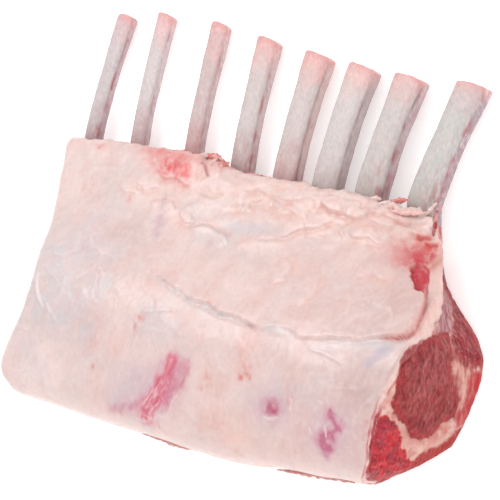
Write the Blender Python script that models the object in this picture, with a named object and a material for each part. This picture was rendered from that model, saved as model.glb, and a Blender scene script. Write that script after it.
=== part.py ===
"""Raw rack of lamb with eight trimmed ribs, lying on its rib side with the fat cap up.

X runs along the backbone edge, Y from the backbone edge out to the rib tips, and +Z is up.
Sizes are written in millimetres and turned into metres where a vertex is made. The cross-section
is drawn once, with y measured from the backbone edge to the trimmed edge and z up from the table,
and is carried from the left end of the rack to the right end. The ribs run through it.
"""

import math

import bpy
import bmesh
from mathutils import Vector

MM = 0.001

# The meat block
MEAT_WIDTH = 121.0
LEFT_HEIGHT_SHARE = 0.88
STATIONS = 12
GAP = 0.34

# The corner at the last rib's bare part is thinner: by what share, and where that starts and ends
THIN_CORNER_DROP = 0.3
THIN_CORNER_SHARES = (0.8, 1.0)
THIN_CORNER_Y = (60, 110)
THIN_CORNER_Z = (15, 26)

# Plan outline: end positions in x against y, and edge positions in y against the share of the length
LEFT_END = [(0, -96.5), (12, -99.5), (40, -92), (75, -96), (100, -105), (121, -111)]
RIGHT_END = [
    (0, 92.5), (8, 98), (15, 104), (32, 110.5), (52, 114.5), (64, 114),
    (74, 108.5), (84, 98), (93, 90), (105, 86), (121, 84),
]
BACKBONE_EDGE = [(0, 7), (0.2, 4.5), (0.42, 1.8), (0.6, 0), (0.8, 1.5), (1, 2.5)]
TRIMMED_EDGE = [(0, 124.5), (0.36, 125), (0.5, 121.5), (0.8, 119.5), (1, 116)]

# How far the cut face of the right end leans back for each millimetre of height, against y
RIGHT_CUT_LEANS = [
    (0, 0), (8, 0.01), (15, 0.12), (30, 0.21), (52, 0.21), (65, 0.16),
    (75, 0.07), (90, -0.29), (105, -0.4), (121, -0.12),
]

# Cross-section at full height, from the backbone edge to the trimmed edge
FAT_OUTSIDE = [
    (2.5, 24), (0, 31), (2, 39.5), (9, 46), (22, 50), (42, 52), (58, 49.5),
    (75, 42), (92, 33.5), (108, 27.5), (117.5, 24), (121, 19.5), (119.5, 14.6),
]
UNDER_FAT_AT_BACK = [(4.4, 24.3), (3.6, 31), (6, 38.5), (13, 44), (27, 47.2)]
UNDER_FAT_OVER_EYE = [(27, 47.2), (36, 48), (46, 47.6), (57, 44.6), (65, 39.8), (71, 34.5)]
UNDER_FAT_OVER_RIBS = [(71, 34.5), (82, 27.5), (95, 21.5), (108, 17), (118.2, 14.3)]
CHINE_CUT_HIGH = [(4.4, 24.3), (12.5, 14)]
CHINE_CUT_LOW = [(12.5, 14), (24, 2.4), (29, 1)]
MUSCLE_SEAM = [(26, 14.5), (23.5, 23), (24, 35), (27, 47.2)]
RIB_MEAT_TOP_AT_BACK = [(12.5, 14), (26, 14.5)]
RIB_MEAT_TOP = [(26, 14.5), (34, 12.4), (44, 12), (54, 13.5), (62, 17.5), (68, 24), (71, 34.5)]
UNDERSIDE = [(29, 1), (60, 1), (92, 1.2), (106, 3.2), (119, 7.5)]
TRIMMED_FACE = [(119, 7.5), (118.2, 14.3)]

# The ribs, from the left: where the bare bone starts and ends, how far to the right of the bare bone
# the rib starts under the meat, and its width
RIB_BASES_X = [-105.1, -78.8, -48.2, -20.8, 3.4, 24.8, 47.4, 73.8]
RIB_TIPS_X = [-105.1, -83.5, -53, -24.7, 3.8, 28.1, 52.9, 83.6]
RIB_TIPS_Y = [184, 187, 186.3, 182.2, 178.4, 175.8, 174.2, 174.8]
RIB_LEANS = [27, 16, 13, 13, 13, 13, 13, 12]
RIB_WIDTHS = [8.3, 8.3, 8.6, 10.6, 12.6, 13.5, 14.2, 14.4]
RIB_THICKNESS_SHARE = 0.7
RIB_BASE_Y = 122
RIB_LEAN_SHARES = [(17, 1), (70, 0.6), (RIB_BASE_Y, 0)]
RIB_LOWEST = [(0, 0), (60, 0), (88, 0), (108, 1.8), (128, 4.6), (150, 4.4), (187, 0.8)]
RIB_FLARE = [(0, 1), (128, 1), (146, 0.97), (160, 1), (172, 1.07), (187, 1.12)]
RIB_START_Y = 21
RIB_SLANT_END_Y = 33
RIB_START_SLANT = 0.95
RIB_STATIONS_Y = [RIB_START_Y, 30, 60, 88, 98, 108, 118, 128, 139, 150, 161, 171]
TIP_ROUNDING = 1.6

# A rounded rectangle in shares of the rib's width and thickness, anticlockwise seen from the tip
RIB_SECTION = [
    (-0.3, -0.5), (0.3, -0.5), (0.44, -0.42), (0.5, -0.25), (0.5, 0.25), (0.44, 0.42),
    (0.3, 0.5), (-0.3, 0.5), (-0.44, 0.42), (-0.5, 0.25), (-0.5, -0.25), (-0.44, -0.42),
]

# The channel that is cut from the meat for a rib: its start, its end past the base, and its open floor
CHANNEL_START_Y = -8
CHANNEL_END_Y = RIB_BASE_Y + 20
CHANNEL_DROP = 3

# Colour, roughness and metallic value of each kind of tissue
FAT = ("fat", (0.86, 0.68, 0.63), 0.5)
EYE_MEAT = ("eye_meat", (0.33, 0.06, 0.07), 0.45)
DARK_MEAT = ("dark_meat", (0.24, 0.03, 0.045), 0.45)
RIB_MEAT = ("rib_meat", (0.36, 0.09, 0.09), 0.45)
BONE = ("bone", (0.66, 0.58, 0.55), 0.55)


def clear_scene():
    for obj in list(bpy.data.objects):
        bpy.data.objects.remove(obj)


def value_at(table, at):
    """The value of a smooth curve through (position, value) pairs, flat past both ends."""
    if at <= table[0][0]:
        return table[0][1]
    if at >= table[-1][0]:
        return table[-1][1]

    def slope(k):
        before, after = max(k - 1, 0), min(k + 1, len(table) - 1)
        return (table[after][1] - table[before][1]) / (table[after][0] - table[before][0])

    k = max(i for i in range(len(table) - 1) if table[i][0] <= at)
    (p0, v0), (p1, v1) = table[k], table[k + 1]
    span = p1 - p0
    t = (at - p0) / span
    return (
        (2 * t**3 - 3 * t**2 + 1) * v0
        + (t**3 - 2 * t**2 + t) * span * slope(k)
        + (3 * t**2 - 2 * t**3) * v1
        + (t**3 - t**2) * span * slope(k + 1)
    )


def smooth_through(points, steps):
    """Points of a smooth curve through the given ones, with so many steps between two of them."""
    placed = [(float(k), p[0]) for k, p in enumerate(points)]
    raised = [(float(k), p[1]) for k, p in enumerate(points)]
    count = (len(points) - 1) * steps
    return [(value_at(placed, k / steps), value_at(raised, k / steps)) for k in range(count + 1)]


def ease(low, high, at):
    """0 below low, 1 above high, and a smooth step between."""
    t = min(1.0, max(0.0, (at - low) / (high - low)))
    return t * t * (3 - 2 * t)


def in_rack(share, y, z):
    """Where a point of the cross-section lies at a share of the rack's length, in metres."""
    height = z * (LEFT_HEIGHT_SHARE + (1 - LEFT_HEIGHT_SHARE) * share)
    thinning = THIN_CORNER_DROP * ease(*THIN_CORNER_SHARES, share) * ease(*THIN_CORNER_Y, y)
    height *= 1 - thinning * ease(*THIN_CORNER_Z, z)
    left = value_at(LEFT_END, y)
    right = value_at(RIGHT_END, y) - value_at(RIGHT_CUT_LEANS, y) * z
    near, far = value_at(BACKBONE_EDGE, share), value_at(TRIMMED_EDGE, share)
    across = near + (far - near) * y / MEAT_WIDTH
    return Vector((left + share * (right - left), across, height)) * MM


def inset(outline, distance):
    """The closed outline moved inwards by a distance; it runs anticlockwise."""
    moved = []
    for k, point in enumerate(outline):
        here = Vector(point)
        to_here = (here - Vector(outline[k - 1])).normalized()
        onward = (Vector(outline[(k + 1) % len(outline)]) - here).normalized()
        inward = Vector((-to_here.y - onward.y, to_here.x + onward.x)).normalized()
        along = max(0.35, inward.dot(Vector((-onward.y, onward.x))))
        moved.append(here + inward * (distance / along))
    return moved


def outline_of(*curves):
    """Curves joined end to end into one closed outline, with no point twice."""
    joined = []
    for curve in curves:
        joined += curve[:-1]
    return joined


def solid_from_rings(name, rings, tissue):
    """A closed solid through rings of points, with both ends filled."""
    shape = bmesh.new()
    made = [[shape.verts.new(point) for point in ring] for ring in rings]
    shape.faces.new(made[0][::-1])
    shape.faces.new(made[-1])
    for ring, following in zip(made, made[1:]):
        for k in range(len(ring)):
            j = (k + 1) % len(ring)
            shape.faces.new((ring[k], ring[j], following[j], following[k]))
    shape.normal_update()
    if shape.calc_volume(signed=True) < 0:
        bmesh.ops.reverse_faces(shape, faces=shape.faces)
    bmesh.ops.triangulate(shape, faces=shape.faces)
    mesh = bpy.data.meshes.new(name)
    shape.to_mesh(mesh)
    shape.free()
    mesh.shade_smooth()
    mesh.set_sharp_from_angle(angle=math.radians(40))
    mesh.materials.append(material_of(tissue))
    obj = bpy.data.objects.new(name, mesh)
    bpy.context.scene.collection.objects.link(obj)
    return obj


def material_of(tissue):
    name, colour, roughness = tissue
    material = bpy.data.materials.get(name)
    if material is None:
        material = bpy.data.materials.new(name)
        material.use_nodes = True
        shader = material.node_tree.nodes["Principled BSDF"]
        shader.inputs["Base Color"].default_value = (*colour, 1)
        shader.inputs["Roughness"].default_value = roughness
        shader.inputs["Metallic"].default_value = 0
    return material


def layer(name, outline, tissue):
    """One layer of the meat block, carried from the left end to the right end."""
    section = inset(outline, GAP / 2)
    rings = [[in_rack(k / STATIONS, y, z) for y, z in section] for k in range(STATIONS + 1)]
    return solid_from_rings(name, rings, tissue)


def meat_layers():
    """The fat cap, the two muscles under it and the meat that holds the ribs."""
    back = smooth_through(UNDER_FAT_AT_BACK, 3)
    over_eye = smooth_through(UNDER_FAT_OVER_EYE, 2)
    over_ribs = smooth_through(UNDER_FAT_OVER_RIBS, 2)
    seam = smooth_through(MUSCLE_SEAM, 2)
    rib_top = smooth_through(RIB_MEAT_TOP, 2)
    rib_top_back = smooth_through(RIB_MEAT_TOP_AT_BACK, 2)
    chine_high = smooth_through(CHINE_CUT_HIGH, 3)
    chine_low = smooth_through(CHINE_CUT_LOW, 2)
    outside = smooth_through(FAT_OUTSIDE, 2)

    layer("fat_cap", outline_of(
        back, over_eye, over_ribs, [over_ribs[-1], outside[-1]], outside[::-1], [outside[0], back[0]],
    ), FAT)
    layer("eye_muscle", outline_of(rib_top, over_eye[::-1], seam[::-1]), EYE_MEAT)
    layer("chine_muscle", outline_of(chine_high, rib_top_back, seam, back[::-1]), DARK_MEAT)
    return layer("rib_meat", outline_of(
        chine_low,
        smooth_through(UNDERSIDE, 2),
        TRIMMED_FACE,
        over_ribs[::-1],
        rib_top[::-1],
        rib_top_back[::-1],
    ), RIB_MEAT)


def rib_ring(number, y, grown=0.0):
    """One ring of a rib at y, grown all round by a distance."""
    base_x, tip_x, tip_y = RIB_BASES_X[number], RIB_TIPS_X[number], RIB_TIPS_Y[number]
    bare = max(0.0, (y - RIB_BASE_Y) / (tip_y - RIB_BASE_Y))
    middle = base_x + (tip_x - base_x) * bare + RIB_LEANS[number] * value_at(RIB_LEAN_SHARES, y)
    width = RIB_WIDTHS[number] * value_at(RIB_FLARE, y)
    thickness = RIB_WIDTHS[number] * RIB_THICKNESS_SHARE
    height = value_at(RIB_LOWEST, y) + thickness / 2
    slant = RIB_START_SLANT * (1 - ease(RIB_START_Y, RIB_SLANT_END_Y, y))
    ring = []
    for across, up in RIB_SECTION:
        x = middle + across * (width + 2 * grown)
        z = up * (thickness + 2 * grown)
        ring.append(Vector((x, y - slant * z, height + z)) * MM)
    return ring


def rib(number):
    tip_y = RIB_TIPS_Y[number]
    rings = [rib_ring(number, y) for y in RIB_STATIONS_Y if y < tip_y - 2 * TIP_ROUNDING]
    rings.append(rib_ring(number, tip_y - TIP_ROUNDING))
    rings.append(rib_ring(number, tip_y, -TIP_ROUNDING / 2))
    return solid_from_rings(f"rib_{number + 1}", rings, BONE)


def rib_channel(number):
    """What is cut from the meat around a rib: the rib grown by the gap, open at both ends and below."""
    stations = [CHANNEL_START_Y, *RIB_STATIONS_Y]
    rings = [rib_ring(number, y, GAP) for y in stations if y < CHANNEL_END_Y]
    for ring in rings:
        for point in ring[:3] + ring[-1:]:
            point.z -= CHANNEL_DROP * MM
    channel = solid_from_rings(f"channel_{number + 1}", rings, BONE)
    channel.hide_render = True
    channel.display_type = "WIRE"
    return channel


def cut_rib_channels(meat):
    """Cuts every rib's channel from the meat; the cutters are removed once the cuts are in the mesh."""
    channels = [rib_channel(number) for number in range(len(RIB_BASES_X))]
    for channel in channels:
        cut = meat.modifiers.new(channel.name, "BOOLEAN")
        cut.operation = "DIFFERENCE"
        cut.solver = "EXACT"
        cut.object = channel
    graph = bpy.context.evaluated_depsgraph_get()
    meat.data = bpy.data.meshes.new_from_object(meat.evaluated_get(graph), depsgraph=graph)
    meat.modifiers.clear()
    for channel in channels:
        bpy.data.objects.remove(channel)


def centre_on_table():
    """Moves every solid so that the rack's box is centred on the origin and stands on z = 0."""
    solids = [obj for obj in bpy.context.scene.objects if obj.type == "MESH"]
    points = [vertex.co for obj in solids for vertex in obj.data.vertices]
    low = Vector(min(p[axis] for p in points) for axis in range(3))
    high = Vector(max(p[axis] for p in points) for axis in range(3))
    shift = Vector((-(low.x + high.x) / 2, -(low.y + high.y) / 2, -low.z))
    for obj in solids:
        for vertex in obj.data.vertices:
            vertex.co += shift


def main():
    clear_scene()
    meat = meat_layers()
    for number in range(len(RIB_BASES_X)):
        rib(number)
    cut_rib_channels(meat)
    centre_on_table()


main()
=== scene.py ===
"""A raw rack of lamb, fat side up, with eight bare ribs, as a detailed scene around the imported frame.

The drawing below is in millimetres: x runs along the backbone edge to the cut end, y from the backbone
edge to the rib tips, and z is up. drawing_shift() gives its place in the frame.
"""

import itertools
import math

import bpy
import numpy as np
from mathutils import Matrix, Vector


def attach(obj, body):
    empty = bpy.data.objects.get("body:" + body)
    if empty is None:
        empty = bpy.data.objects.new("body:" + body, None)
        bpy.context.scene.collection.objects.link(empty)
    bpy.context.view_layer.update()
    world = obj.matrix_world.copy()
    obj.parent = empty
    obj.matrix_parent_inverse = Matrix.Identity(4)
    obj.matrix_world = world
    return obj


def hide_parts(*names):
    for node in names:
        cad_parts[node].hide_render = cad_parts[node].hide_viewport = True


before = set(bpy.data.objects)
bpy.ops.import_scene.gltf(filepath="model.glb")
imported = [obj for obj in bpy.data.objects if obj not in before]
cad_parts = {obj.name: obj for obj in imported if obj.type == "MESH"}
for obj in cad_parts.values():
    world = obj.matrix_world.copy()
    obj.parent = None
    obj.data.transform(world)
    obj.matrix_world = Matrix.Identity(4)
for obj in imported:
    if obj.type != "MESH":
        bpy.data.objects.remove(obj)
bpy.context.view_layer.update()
MM = 0.001
BRIGHTNESS = 1.55

# The meat block, as the frame has it
MEAT_WIDTH = 121.0
LEFT_HEIGHT_SHARE = 0.88
THIN_CORNER_DROP = 0.3
THIN_CORNER_SHARES = (0.8, 1.0)
THIN_CORNER_Y = (60, 110)
THIN_CORNER_Z = (15, 26)
LEFT_END = [(0, -96.5), (12, -99.5), (40, -92), (75, -96), (100, -105), (121, -111)]
RIGHT_END = [
    (0, 92.5), (8, 98), (15, 104), (32, 110.5), (52, 114.5), (64, 114),
    (74, 108.5), (84, 98), (93, 89), (105, 83.6), (121, 82.2),
]
BACKBONE_EDGE = [(0, 7), (0.2, 4.5), (0.42, 1.8), (0.6, 0), (0.8, 1.5), (1, 2.5)]
TRIMMED_EDGE = [(0, 124.5), (0.36, 125), (0.5, 121.5), (0.8, 119.5), (1, 116)]
RIGHT_CUT_LEANS = [
    (0, 0), (8, 0.01), (15, 0.12), (30, 0.21), (52, 0.21), (65, 0.16),
    (75, 0.07), (90, -0.29), (105, -0.4), (121, -0.12),
]

# Cross-section at full height, as (y, z)
FAT_OUTSIDE = [
    (2.5, 24), (0, 31), (2, 39.5), (9, 46), (22, 50), (42, 52), (58, 49.5),
    (75, 42), (92, 33.5), (108, 27.5), (117.5, 24), (121, 19.5), (119.5, 14.6),
]
UNDER_FAT = [
    (4.4, 24.3), (3.6, 31), (6, 38.5), (13, 44), (27, 47.2), (36, 48), (46, 47.6), (57, 44.6),
    (65, 39.8), (71, 34.5), (82, 27.5), (95, 21.5), (108, 17), (118.2, 14.3),
]
LEAN_BOTTOM = [(3.8, 25), (12.5, 14), (24, 2.4), (29, 1), (60, 1), (92, 1.2), (106, 3.2), (119, 7.5)]

# The ribs, from the left
RIB_BASES_X = [-105.1, -78.8, -48.2, -20.8, 3.4, 24.8, 47.4, 73.8]
RIB_TIPS_X = [-105.1, -83.5, -53, -24.7, 3.8, 28.1, 52.9, 83.6]
RIB_TIPS_Y = [184, 187, 186.3, 182.2, 178.4, 175.8, 174.2, 174.8]
RIB_LEANS = [27, 16, 13, 13, 13, 13, 13, 12]
RIB_WIDTHS = [8.3, 8.3, 8.6, 10.6, 12.6, 13.5, 14.2, 14.4]
RIB_THICKNESS_SHARE = 0.7
RIB_BASE_Y = 122
RIB_LEAN_SHARES = [(17, 1), (70, 0.6), (RIB_BASE_Y, 0)]
RIB_LOWEST = [(0, 0), (60, 0), (88, 0), (108, 1.8), (128, 4.6), (150, 4.4), (187, 0.8)]
RIB_FLARE = [(0, 1), (128, 1), (146, 0.97), (160, 1), (172, 1.07), (187, 1.12)]
RIB_START_Y = 21


# Numbers and curves

def value_at(table, at):
    """The value of a smooth curve through (position, value) pairs, flat past both ends."""
    p = np.array([pair[0] for pair in table], float)
    v = np.array([pair[1] for pair in table], float)
    last = len(p) - 1
    slopes = np.array([
        (v[min(k + 1, last)] - v[max(k - 1, 0)]) / (p[min(k + 1, last)] - p[max(k - 1, 0)])
        for k in range(last + 1)
    ])
    at = np.clip(np.asarray(at, float), p[0], p[-1])
    k = np.clip(np.searchsorted(p, at, side="right") - 1, 0, last - 1)
    span = p[k + 1] - p[k]
    t = (at - p[k]) / span
    return (
        (2 * t**3 - 3 * t**2 + 1) * v[k]
        + (t**3 - 2 * t**2 + t) * span * slopes[k]
        + (3 * t**2 - 2 * t**3) * v[k + 1]
        + (t**3 - t**2) * span * slopes[k + 1]
    )


def curve_through(points, steps=12):
    """Points of a smooth curve through the given ones, evenly spaced, as a function of 0 to 1."""
    ranks = np.arange((len(points) - 1) * steps + 1) / steps
    fine = np.stack([value_at(list(enumerate(axis)), ranks) for axis in zip(*points)], -1)
    lengths = np.concatenate([[0], np.cumsum(np.linalg.norm(np.diff(fine, axis=0), axis=1))])
    shares = lengths / lengths[-1]
    return lambda at: np.stack([np.interp(at, shares, column) for column in fine.T], -1)


def ease(low, high, at):
    """0 below low, 1 above high, and a smooth step between."""
    t = np.clip((at - low) / (high - low), 0, 1)
    return t * t * (3 - 2 * t)


RANDOM = np.random.default_rng(7)
SHUFFLED = RANDOM.permutation(256)
DIRECTIONS = RANDOM.normal(size=(256, 3))
DIRECTIONS /= np.linalg.norm(DIRECTIONS, axis=1, keepdims=True)


def noise(points, size, seed=0):
    """Smooth noise from about -1 to 1. Its lumps have the given size, one number or one per axis, in mm."""
    p = np.asarray(points, float) / np.asarray(size, float) + seed * 13.7
    cell = np.floor(p).astype(int)
    inside = p - cell
    fade = inside**3 * (inside * (inside * 6 - 15) + 10)
    total = np.zeros(p.shape[:-1])
    for corner in itertools.product((0, 1), repeat=3):
        near = cell + corner
        pick = SHUFFLED[(near[..., 0]) & 255]
        pick = SHUFFLED[(pick + near[..., 1]) & 255]
        pick = SHUFFLED[(pick + near[..., 2]) & 255]
        weight = np.prod(np.where(corner, fade, 1 - fade), axis=-1)
        total += weight * np.sum(DIRECTIONS[pick] * (inside - corner), axis=-1)
    return total * 1.7


def rough(points, size, octaves=3, seed=0):
    """Noise with finer noise on it."""
    size = np.asarray(size, float)
    layers = [noise(points, size / 2**k, seed + 5 * k) / 2**k for k in range(octaves)]
    return sum(layers)


def offsets(points, size, seeds):
    """Sideways offsets from noise, one along each of two axes."""
    return np.column_stack([noise(points, size, seed) for seed in seeds])


def path_field(places, path):
    """Distance from each (x, y) to a path, positive on its left side, and how far along it is, 0 to 1."""
    path = np.asarray(path, float)
    steps = np.diff(path, axis=0)
    lengths = np.linalg.norm(steps, axis=1)
    starts = np.concatenate([[0], np.cumsum(lengths)])
    best = np.full(len(places), np.inf)
    side = np.ones(len(places))
    along = np.zeros(len(places))
    for start, step, length, before in zip(path, steps, lengths, starts):
        to = places - start
        share = np.clip(to @ step / length**2, 0, 1)
        apart = np.linalg.norm(to - share[:, None] * step, axis=1)
        nearer = apart < best
        best[nearer] = apart[nearer]
        side[nearer] = np.sign(step[0] * to[nearer, 1] - step[1] * to[nearer, 0])
        along[nearer] = (before + share[nearer] * length) / starts[-1]
    return best * side, along


def depth_in(places, outline):
    """How deep each (x, y) lies inside a closed outline, in mm; negative outside."""
    outline = np.asarray(outline, float)
    closed = np.vstack([outline, outline[:1]])
    apart = distance(places, closed)
    inside = np.zeros(len(places), bool)
    for (x0, y0), (x1, y1) in zip(closed, closed[1:]):
        crosses = (y0 > places[:, 1]) != (y1 > places[:, 1])
        rise = y1 - y0 if y1 != y0 else 1e-9
        inside ^= crosses & (places[:, 0] < (x1 - x0) * (places[:, 1] - y0) / rise + x0)
    return np.where(inside, apart, -apart)


def distance(places, path):
    """Distance from each (x, y) to a path."""
    return np.abs(path_field(places, path)[0])


def bell(value, width):
    """1 where a value is 0, falling smoothly to 0 at about twice the width."""
    return np.exp(-(value / width) ** 2)


def faded(along, share):
    """1 along a path, falling to 0 over a share of it at each end."""
    return ease(0, share, along) * ease(1, 1 - share, along)


def blob(places, centre, radii):
    """1 at a centre, falling smoothly to 0 at about twice the radii."""
    return np.exp(-np.sum(((places - np.asarray(centre)) / np.asarray(radii)) ** 2, axis=1))


def srgb(red, green, blue):
    """The surface colour that shows as the given one, from 0 to 255, in the scene's bright light."""
    c = np.array([red, green, blue]) / 255
    return np.where(c <= 0.04045, c / 12.92, ((c + 0.055) / 1.055) ** 2.4) / BRIGHTNESS


class Paint:
    """The colours of a piece's points, painted over one after another."""

    def __init__(self, count, colour, places=None, ragged=None):
        self.colours = np.tile(srgb(*colour), (count, 1))
        self.places, self.ragged = places, ragged

    def __call__(self, share, colour, dim=(1, 1, 1)):
        """Mixes a colour in where the share is near 1."""
        share = np.clip(share, 0, 1)[:, None]
        self.colours = self.colours * (1 - share) + srgb(*colour) * dim * share

    def spot(self, share, centre, radii, colour, wobble=0.0):
        """A soft spot, with an outline torn by wobble."""
        self(share * blob(self.places + wobble * self.ragged, centre, radii), colour)

    def line(self, share, path, width, colour, wobble=0.0):
        """A soft line along a path."""
        self(share * bell(distance(self.places + wobble * self.ragged, path), width), colour)


# The rack's shape

def drawing_shift():
    """From the drawing to the frame: the tip of the second rib has a known place in both."""
    corners = np.array([v.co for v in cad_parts["rib_2"].data.vertices]) / MM
    tip = corners[corners[:, 1] > corners[:, 1].max() - 0.01]
    middle = (tip.min(axis=0) + tip.max(axis=0)) / 2
    return np.array([middle[0] - RIB_TIPS_X[1], middle[1] - RIB_TIPS_Y[1], 0.0])


SHIFT = drawing_shift()


def in_rack(share, y, z):
    """Where a point of the cross-section lies at a share of the rack's length, in the drawing."""
    height = z * (LEFT_HEIGHT_SHARE + (1 - LEFT_HEIGHT_SHARE) * share)
    thinning = THIN_CORNER_DROP * ease(*THIN_CORNER_SHARES, share) * ease(*THIN_CORNER_Y, y)
    height = height * (1 - thinning * ease(*THIN_CORNER_Z, z))
    section = np.stack([y, z, 0 * y], -1)
    left = value_at(LEFT_END, y) + 0.7 * noise(section, 16, 3) + 0.3 * noise(section, 5, 4)
    right = value_at(RIGHT_END, y) - value_at(RIGHT_CUT_LEANS, y) * z
    near, far = value_at(BACKBONE_EDGE, share), value_at(TRIMMED_EDGE, share)
    across = near + (far - near) * y / MEAT_WIDTH
    return np.stack([left + share * (right - left), across, height], -1)


# Meshes

def box_skin(counts, step):
    """Places on the six sides of a box, each from 0 to 1, and the faces between them.

    counts says how many cells there are along a, b and c. The side c = 1, which is hidden, has cells of
    step x step, joined to the fine edges round it.
    """
    na, nb, nc = counts
    i, j, k = np.meshgrid(*(np.arange(n + 1) for n in counts), indexing="ij")
    used = (i % na == 0) | (j % nb == 0) | (k == 0)
    used |= (k == nc) & (i % step == 0) & (j % step == 0)
    number = np.full(used.shape, -1)
    number[used] = np.arange(used.sum())
    places = np.stack([i[used] / na, j[used] / nb, k[used] / nc], -1)
    faces = []

    def side(grid, flip):
        quads = np.stack([grid[:-1, :-1], grid[1:, :-1], grid[1:, 1:], grid[:-1, 1:]], -1).reshape(-1, 4)
        faces.extend((quads[:, ::-1] if flip else quads).tolist())

    side(number[:, :, 0], True)
    side(number[0], True)
    side(number[na], False)
    side(number[:, 0], False)
    side(number[:, nb], True)

    def run(i0, j0, i1, j1, fine):
        n = step if fine else 1
        return [int(number[i0 + (i1 - i0) * t // n, j0 + (j1 - j0) * t // n, nc]) for t in range(n)]

    for i0 in range(0, na, step):
        for j0 in range(0, nb, step):
            i1, j1 = i0 + step, j0 + step
            faces.append(
                run(i0, j0, i1, j0, j0 == 0)
                + run(i1, j0, i1, j1, i1 == na)
                + run(i1, j1, i0, j1, j1 == nb)
                + run(i0, j1, i0, j0, i0 == 0)
            )
    return places, faces


def make_piece(name, points, faces, colours, material, replaced=(), grain=1.0):
    """A smooth piece from points in the drawing, with a colour at each point and how grainy it is there."""
    points = (np.asarray(points) + SHIFT) * MM
    mesh = bpy.data.meshes.new(name)
    mesh.from_pydata(points.tolist(), [], faces)
    layer = mesh.color_attributes.new("tint", "FLOAT_COLOR", "POINT")
    layer.data.foreach_set("color", np.column_stack([colours, grain * np.ones(len(points))]).ravel())
    mesh.shade_smooth()
    mesh.materials.append(material)
    piece = bpy.data.objects.new(name, mesh)
    bpy.context.scene.collection.objects.link(piece)
    if replaced:
        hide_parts(*replaced)
    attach(piece, "root")
    return piece


# Materials

GLOSS_SPREAD = 0.12
SCATTER_DEPTH = 2.2


def tissue(name, grain, stretch, contrast, bump, roughness, shine, wet, soft, radius, flecks=(), lean=0.0):
    """Moist tissue: its colour comes from the mesh, with grain that follows the piece, and it scatters light.

    grain is the grain's size in mm, stretch how much longer it is along x, y and z, lean the angle in the
    section by which it is turned, contrast how much it changes the colour, and bump its height in mm.
    flecks are (size in mm, share, colour).
    """
    material = bpy.data.materials.new(name)
    material.use_nodes = True
    tree = material.node_tree

    def fill(made, inputs):
        for key, value in inputs.items():
            if isinstance(value, bpy.types.NodeSocket):
                tree.links.new(value, made.inputs[key])
            else:
                made.inputs[key].default_value = value

    def node(kind, output, inputs, **settings):
        made = tree.nodes.new("ShaderNode" + kind)
        for key, value in settings.items():
            setattr(made, key, value)
        fill(made, inputs)
        return made.outputs[output]

    colour = node("VertexColor", "Color", {}, layer_name="tint")
    grainy = colour.node.outputs["Alpha"]
    turned = node("Mapping", "Vector", {
        "Vector": node("TexCoord", "Object", {}), "Rotation": (lean, 0, 0), "Scale": stretch,
    }, vector_type="TEXTURE")
    fine = node("TexNoise", "Fac", {
        "Vector": turned, "Scale": 1 / (grain * MM), "Detail": 5, "Roughness": 0.6,
    })
    spread = node("MapRange", "Result", {
        "Value": fine, "From Min": 0.3, "From Max": 0.7, "To Min": -contrast, "To Max": contrast * 0.7,
    })
    change = node("Math", "Value", {0: spread, 1: grainy, 2: 1.0}, operation="MULTIPLY_ADD")
    result = node("VectorMath", "Vector", {0: colour, "Scale": change}, operation="SCALE")
    for size, share, tone in flecks:
        cells = node("TexNoise", "Fac", {"Vector": turned, "Scale": 1 / (size * MM), "Detail": 3})
        rare = node("MapRange", "Result", {
            "Value": cells, "From Min": 0.54, "From Max": 0.7, "To Max": share,
        })
        amount = node("Math", "Value", {0: rare, 1: grainy}, operation="MULTIPLY")
        inputs = {"Factor": amount, "A": result, "B": (*srgb(*tone), 1)}
        result = node("Mix", "Result", inputs, data_type="RGBA")

    fill(tree.nodes["Principled BSDF"], {
        "Base Color": result,
        "Roughness": node("MapRange", "Result", {
            "Value": fine, "To Min": roughness - GLOSS_SPREAD, "To Max": roughness + GLOSS_SPREAD,
        }),
        "Normal": node("Bump", "Normal", {"Height": fine, "Distance": bump * MM, "Strength": 0.8}),
        "Specular IOR Level": shine,
        "Subsurface Weight": soft,
        "Subsurface Radius": radius,
        "Subsurface Scale": SCATTER_DEPTH * MM,
        "Coat Weight": wet,
        "Coat Roughness": 0.2,
    })
    return material


FAT_TISSUE = tissue(
    "fat_tissue", grain=2.0, stretch=(1, 1.3, 1), contrast=0.05, bump=0.1, roughness=0.36, shine=0.4,
    wet=0.15, soft=0.3, radius=(1.0, 0.45, 0.3),
    flecks=((1.5, 0.2, (224, 172, 168)), (2.7, 0.25, (246, 226, 222))),
)
MEAT_TISSUE = tissue(
    "meat_tissue", grain=0.9, stretch=(1, 2.3, 1), contrast=0.42, bump=0.2, roughness=0.4, shine=0.17,
    wet=0.03, soft=0.15, radius=(1.0, 0.25, 0.15), lean=math.radians(22),
    flecks=((0.8, 0.34, (214, 122, 116)), (0.8, 0.25, (112, 26, 34))),
)
BONE_TISSUE = tissue(
    "bone_tissue", grain=0.9, stretch=(1, 2.4, 1), contrast=0.11, bump=0.12, roughness=0.48, shine=0.35,
    wet=0.05, soft=0.15, radius=(1.0, 0.5, 0.4),
    flecks=((1.0, 0.36, (190, 176, 183)), (1.4, 0.3, (236, 208, 204))),
)

# Colours as the photograph shows them
PEACH = (238, 210, 205)
CREAM = (241, 216, 210)
PINK_FAT = (236, 200, 194)
ROSY_FAT = (228, 192, 187)
LILAC = (219, 207, 209)
BRIGHT_FAT_AND_HIGHLIGHT = (250, 220, 213)
WHITE_SKIN = (236, 228, 228)
BLUE_PAINTED_SHADOW = (186, 180, 190)
BLUSH = (214, 72, 76)
DEEP_RED = (206, 36, 56)
ORANGE_RED = (222, 112, 94)
PEACH_AND_CREASE_SHADE = (240, 186, 172)
MAGENTA = (228, 98, 124)
FIBRE_AND_GLINT = (250, 230, 228)
EYE_RED = (163, 51, 53)
EYE_DARK = (122, 26, 34)
EYE_PALE = (200, 110, 106)
CHINE_RED = (206, 22, 38)
CHINE_PALE = (224, 74, 80)
MAUVE = (176, 112, 118)
SEAM_FAT = (228, 168, 156)
PALE_SEAM = (240, 202, 192)


# The fat cap

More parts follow.
